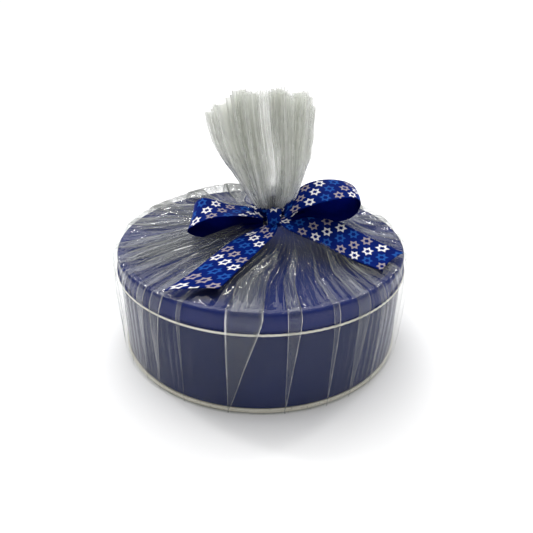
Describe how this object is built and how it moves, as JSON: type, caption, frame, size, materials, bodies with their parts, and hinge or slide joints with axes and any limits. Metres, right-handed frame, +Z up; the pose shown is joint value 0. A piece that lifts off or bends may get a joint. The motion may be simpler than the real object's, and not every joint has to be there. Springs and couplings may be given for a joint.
{
  "type": "gift-wrapped cookie tin",
  "caption": "Round blue cookie tin with a lift-off lid, gathered in clear film and tied with a printed blue ribbon bow.",
  "frame": {"origin": "middle of the underside, on the surface that the tin stands on", "axes": "+Z up along the axis of the tin; the bow faces -Y"},
  "size_m": [0.2, 0.2, 0.168],
  "materials": {
    "blue_paint": "gloss",
    "tinplate": "satin",
    "paper": "matte",
    "biscuit": "matte",
    "clear_film": "gloss",
    "ribbon": "satin"
  },
  "bodies": {
    "tin": {"tin_wall": "blue_paint", "tin_base": "tinplate", "wrap_base": "clear_film", "bottom_paper": "paper", "cookie_cup_1": "paper", "cookie_cup_2": "paper", "cookie_cup_3": "paper", "cookie_cup_4": "paper", "cookie_cup_5": "paper", "cookie_cup_6": "paper", "cookie_cup_7": "paper", "cookie_1_1": "biscuit", "cookie_1_2": "biscuit", "cookie_1_3": "biscuit", "cookie_2_1": "biscuit", "cookie_2_2": "biscuit", "cookie_2_3": "biscuit", "cookie_3_1": "biscuit", "cookie_3_2": "biscuit", "cookie_3_3": "biscuit", "cookie_4_1": "biscuit", "cookie_4_2": "biscuit", "cookie_4_3": "biscuit", "cookie_5_1": "biscuit", "cookie_5_2": "biscuit", "cookie_5_3": "biscuit", "cookie_6_1": "biscuit", "cookie_6_2": "biscuit", "cookie_6_3": "biscuit", "cookie_7_1": "biscuit", "cookie_7_2": "biscuit", "cookie_7_3": "biscuit", "top_pad": "paper"},
    "lid": {"lid": "blue_paint"},
    "wrap": {"wrap_side": "clear_film", "wrap_top": "clear_film", "wrap_neck": "clear_film", "wrap_tuft": "clear_film", "ribbon_band": "ribbon", "bow_knot": "ribbon", "bow_loop_left": "ribbon", "bow_loop_right": "ribbon", "bow_tail_left": "ribbon", "bow_tail_right": "ribbon"}
  },
  "joints": [
    {"name": "lid_lift", "type": "slide", "parent": "tin", "child": "lid", "axis": [0, 0, 1], "range_m": [0, 0.08]},
    {"name": "wrap_lift", "type": "slide", "parent": "lid", "child": "wrap", "axis": [0, 0, 1], "range_m": [0, 0.09]}
  ]
}
